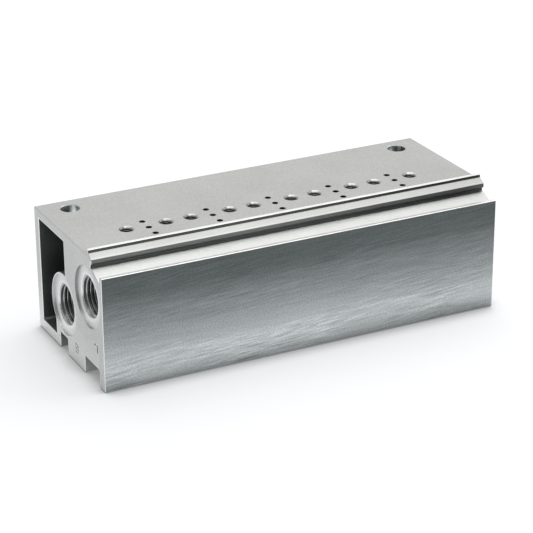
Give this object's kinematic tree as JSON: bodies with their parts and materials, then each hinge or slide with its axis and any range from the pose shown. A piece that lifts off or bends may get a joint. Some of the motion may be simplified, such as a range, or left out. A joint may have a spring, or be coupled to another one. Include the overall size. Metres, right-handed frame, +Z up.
{
  "type": "valve manifold",
  "caption": "One-piece extruded aluminium manifold rail with threaded end ports, a milled valve face with tapped stations, a hollow rear chamber and channelled feet.",
  "frame": {"origin": "middle of the rail's length and width, on the plane its feet stand on", "axes": "+X along the rail away from the numbered end, +Y towards the back wall with the hollow chamber, +Z up out of the valve face"},
  "size_m": [0.101, 0.04, 0.0317],
  "materials": {
    "aluminium": "extruded walls with die lines, milled valve face and end faces"
  },
  "bodies": {
    "root": {"manifold_rail": "aluminium"}
  },
  "joints": []
}
